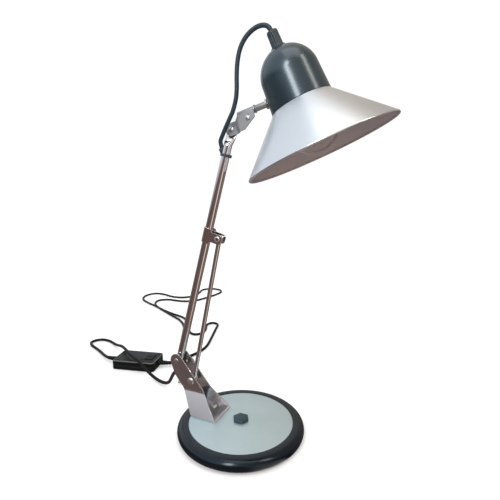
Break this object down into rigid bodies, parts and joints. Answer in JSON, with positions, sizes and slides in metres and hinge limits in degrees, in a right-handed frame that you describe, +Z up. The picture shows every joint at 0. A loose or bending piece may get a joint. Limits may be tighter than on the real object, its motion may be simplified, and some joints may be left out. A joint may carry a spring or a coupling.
{
  "type": "desk lamp",
  "caption": "Desk lamp with a weighted round base, a leaning tube arm held by a sliding brace, a tilting and turning cone shade, and a mains lead with an in-line switch.",
  "frame": {"origin": "centre of the underside of the round base, on the surface the lamp stands on", "axes": "+Z up; +X from the base centre towards the side the head leans out to; +Y across the arm, to the left when looking along +X"},
  "size_m": [0.7092, 0.7021, 0.4775],
  "materials": {
    "ring_gloss": "gloss",
    "plate_grey": "satin",
    "iron": "rough",
    "pad": "matt",
    "black_steel": "satin",
    "zinc": "satin",
    "chrome": "polished",
    "rod_chrome": "polished",
    "wrist_steel": "satin",
    "black_plastic": "matt",
    "dome_black": "gloss",
    "shade_silver": "satin",
    "brass": "polished",
    "bulb_glass": "clear",
    "cap_metal": "polished",
    "stem_glass": "clear",
    "cord_black": "satin",
    "switch_black": "satin",
    "plug_black": "satin",
    "pin_nickel": "nickel plated"
  },
  "bodies": {
    "base": {"base_ring": "ring_gloss", "base_plate": "plate_grey", "base_weight": "iron", "foot_pad": "pad", "centre_bolt": "black_steel", "bolt_washer": "zinc", "bolt_nut": "zinc", "bracket": "chrome", "bracket_screws": "zinc", "arm_pivot_pins": "zinc", "arm_spacers": "black_plastic", "brace_rivet": "zinc", "brace_spacers": "black_plastic", "lamp_lead": "cord_black", "mains_lead": "cord_black", "switch_base": "switch_black", "switch_screws": "zinc", "switch_cover": "switch_black", "switch_reliefs": "black_plastic", "switch_contacts": "brass", "plug_body": "plug_black", "plug_pins": "pin_nickel", "plug_relief": "black_plastic"},
    "arm": {"arm_tube": "chrome", "tube_bush": "black_plastic", "arm_cord": "cord_black", "cable_tie": "black_plastic", "wrist_rivet": "zinc", "wrist_washer": "zinc", "head_cord_lower": "cord_black"},
    "brace": {"brace_rod": "rod_chrome"},
    "clip": {"slide_clip": "rod_chrome", "clip_rivet": "zinc", "clip_spacers": "black_plastic"},
    "wrist": {"wrist_bracket": "wrist_steel", "clamp_screw": "zinc", "clamp_nut": "zinc"},
    "head": {"spindle": "wrist_steel", "spindle_collar": "zinc", "dome": "dome_black", "collar_rivets": "zinc", "spindle_washer": "zinc", "spindle_nut": "zinc", "shade": "shade_silver", "lamp_holder": "black_plastic", "holder_shell": "brass", "holder_contact": "brass", "bulb_cap": "cap_metal", "bulb_glass": "bulb_glass", "bulb_stem": "stem_glass", "cord_grip": "black_plastic", "grip_nut": "zinc", "head_cord_upper": "cord_black"},
    "rocker": {"switch_rocker": "switch_black"}
  },
  "joints": [
    {"name": "arm_tilt", "type": "hinge", "parent": "base", "child": "arm", "pos_m": [-0.0908, 0, 0.0812], "axis": [0, 1, 0], "range_deg": [-15, 20], "deforming": ["lamp_lead"]},
    {"name": "brace_tilt", "type": "hinge", "parent": "base", "child": "brace", "pos_m": [-0.069, 0, 0.0572], "axis": [0, 1, 0], "range_deg": [-13.7, 18.3]},
    {"name": "clip_turn", "type": "hinge", "parent": "brace", "child": "clip", "pos_m": [-0.02867, 0, 0.24598], "axis": [0, 1, 0], "range_deg": [-1.4, 1.9]},
    {"name": "wrist_tilt", "type": "hinge", "parent": "arm", "child": "wrist", "pos_m": [-0.01136, 0, 0.3736], "axis": [0, 1, 0], "range_deg": [-50, 30], "deforming": ["head_cord_lower", "head_cord_upper"]},
    {"name": "head_swivel", "type": "hinge", "parent": "wrist", "child": "head", "pos_m": [0.06614, 0, 0.40686], "axis": [0.9652, 0, 0.2615], "range_deg": [-90, 90], "deforming": ["head_cord_upper"]},
    {"name": "rocker_tip", "type": "hinge", "parent": "base", "child": "rocker", "pos_m": [-0.22571, 0.10118, 0.0125], "axis": [0.969, 0.247, 0], "range_deg": [-7, 7]}
  ],
  "couplings": [
    {"joint": "brace_tilt", "follows": "arm_tilt", "ratio": 0.9095},
    {"joint": "clip_turn", "follows": "arm_tilt", "ratio": 0.0905}
  ]
}
